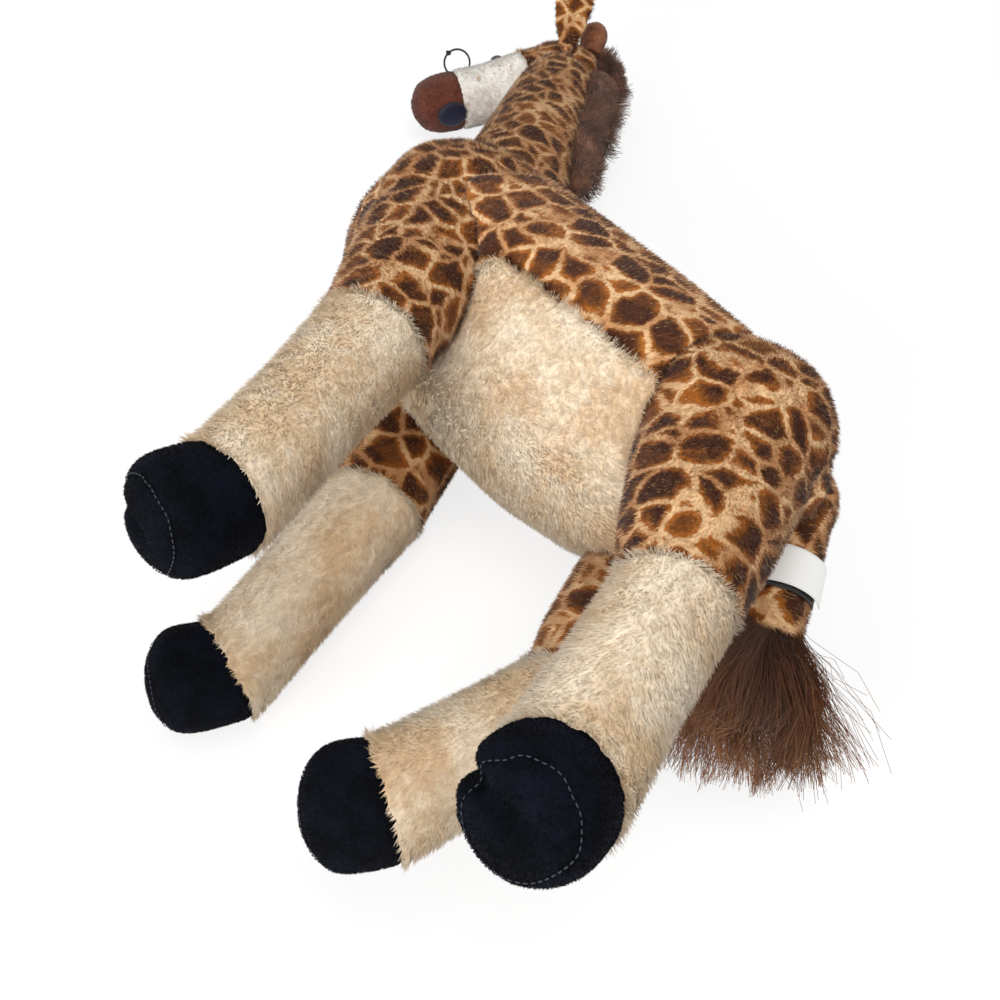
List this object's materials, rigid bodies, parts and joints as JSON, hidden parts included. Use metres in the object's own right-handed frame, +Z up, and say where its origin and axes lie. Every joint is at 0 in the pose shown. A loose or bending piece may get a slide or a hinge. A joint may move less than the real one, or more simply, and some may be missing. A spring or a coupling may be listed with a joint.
{
  "type": "plush giraffe",
  "caption": "Stuffed plush giraffe lying on its right side, with jointed neck, head, ears, legs and tail, dark hooves, a brown mane and a tufted tail.",
  "frame": {"origin": "middle of the bounding box on the floor that the giraffe lies on", "axes": "+Z up from the floor; the rump points to +X, the head end to +Y, and the legs to -X and -Y"},
  "size_m": [0.4226, 0.9606, 0.2235],
  "materials": {
    "spotted_plush": "cream plush printed with brown giraffe patches, 4 mm pile",
    "cream_plush": "brushed cream plush",
    "hoof_velour": "short navy black velour with sewn soles",
    "brown_plush": "long dark brown plush, short velour on horns and muzzle",
    "white_plush": "short white plush with faint freckles",
    "navy_velour": "short navy velour",
    "stuffing": "loose white fibre filling",
    "black_plastic": "glossy black",
    "clear_plastic": "clear nylon",
    "tape": "white woven tape, black on its inner face",
    "elastic": "black round elastic"
  },
  "bodies": {
    "torso": {"torso_pelt": "spotted_plush", "belly_panel": "cream_plush", "torso_stuffing": "stuffing", "withers_mane": "brown_plush"},
    "neck": {"neck_pelt": "spotted_plush", "neck_stuffing": "stuffing", "neck_mane": "brown_plush"},
    "head": {"left_eye": "black_plastic", "left_eye_washer": "clear_plastic", "right_eye": "black_plastic", "right_eye_washer": "clear_plastic", "tag_loop": "elastic", "tag_loop_knot": "elastic", "head_pelt": "spotted_plush", "face_panel": "white_plush", "muzzle": "brown_plush", "tongue": "navy_velour", "head_stuffing": "stuffing", "poll_mane": "brown_plush", "left_horn": "brown_plush", "right_horn": "brown_plush"},
    "left_ear": {"left_ear": "spotted_plush", "left_ear_lining": "cream_plush"},
    "right_ear": {"right_ear": "spotted_plush", "right_ear_lining": "cream_plush"},
    "left_front_leg": {"left_front_leg_sleeve": "spotted_plush", "left_front_leg_sock": "cream_plush", "left_front_hoof": "hoof_velour", "left_front_sole": "hoof_velour", "left_front_leg_stuffing": "stuffing"},
    "right_front_leg": {"right_front_leg_sleeve": "spotted_plush", "right_front_leg_sock": "cream_plush", "right_front_hoof": "hoof_velour", "right_front_sole": "hoof_velour", "right_front_leg_stuffing": "stuffing"},
    "left_hind_leg": {"left_hind_leg_sleeve": "spotted_plush", "left_hind_leg_sock": "cream_plush", "left_hind_hoof": "hoof_velour", "left_hind_sole": "hoof_velour", "left_hind_leg_stuffing": "stuffing"},
    "right_hind_leg": {"right_hind_leg_sleeve": "spotted_plush", "right_hind_leg_sock": "cream_plush", "right_hind_hoof": "hoof_velour", "right_hind_sole": "hoof_velour", "right_hind_leg_stuffing": "stuffing"},
    "tail": {"tail_pelt": "spotted_plush", "tail_stuffing": "stuffing", "tail_tuft": "brown_plush", "label": "tape"}
  },
  "joints": [
    {"name": "neck_swing", "type": "hinge", "parent": "torso", "child": "neck", "pos_m": [-0.00152, 0.09893, 0.07842], "axis": [0.1593, 0.1336, 0.9781], "range_deg": [-8, 8], "stiffness_Nm_per_rad": 4},
    {"name": "head_nod", "type": "hinge", "parent": "neck", "child": "head", "pos_m": [0.06636, 0.41101, 0.03736], "axis": [0.1593, 0.1336, 0.9781], "range_deg": [-8, 8], "stiffness_Nm_per_rad": 2},
    {"name": "left_front_leg_swing", "type": "hinge", "parent": "torso", "child": "left_front_leg", "pos_m": [-0.02105, 0.01988, 0.15374], "axis": [0.1593, 0.1336, 0.9781], "range_deg": [-14, 14], "stiffness_Nm_per_rad": 1.5},
    {"name": "right_front_leg_swing", "type": "hinge", "parent": "torso", "child": "right_front_leg", "pos_m": [-0.04016, 0.00384, 0.03636], "axis": [0.1593, 0.1336, 0.9781], "range_deg": [-14, 8], "stiffness_Nm_per_rad": 1.5},
    {"name": "left_hind_leg_swing", "type": "hinge", "parent": "torso", "child": "left_hind_leg", "pos_m": [0.14191, -0.19323, 0.15428], "axis": [0.1593, 0.1336, 0.9781], "range_deg": [-14, 14], "stiffness_Nm_per_rad": 1.5},
    {"name": "right_hind_leg_swing", "type": "hinge", "parent": "torso", "child": "right_hind_leg", "pos_m": [0.12343, -0.20874, 0.04081], "axis": [0.1593, 0.1336, 0.9781], "range_deg": [-8, 4], "stiffness_Nm_per_rad": 1.5},
    {"name": "tail_swing", "type": "hinge", "parent": "torso", "child": "tail", "pos_m": [0.18567, -0.20872, 0.09202], "axis": [0.1593, 0.1336, 0.9781], "range_deg": [-3, 12], "stiffness_Nm_per_rad": 0.5},
    {"name": "left_ear_flap", "type": "hinge", "parent": "head", "child": "left_ear", "pos_m": [0.07018, 0.40376, 0.07249], "axis": [0.9866, -0.1521, -0.0595], "range_deg": [-12, 12], "stiffness_Nm_per_rad": 0.15},
    {"name": "right_ear_flap", "type": "hinge", "parent": "head", "child": "right_ear", "pos_m": [0.06421, 0.39745, 0.00787], "axis": [0.0158, 0.0639, -0.9978], "range_deg": [-3, 10], "stiffness_Nm_per_rad": 0.15}
  ]
}
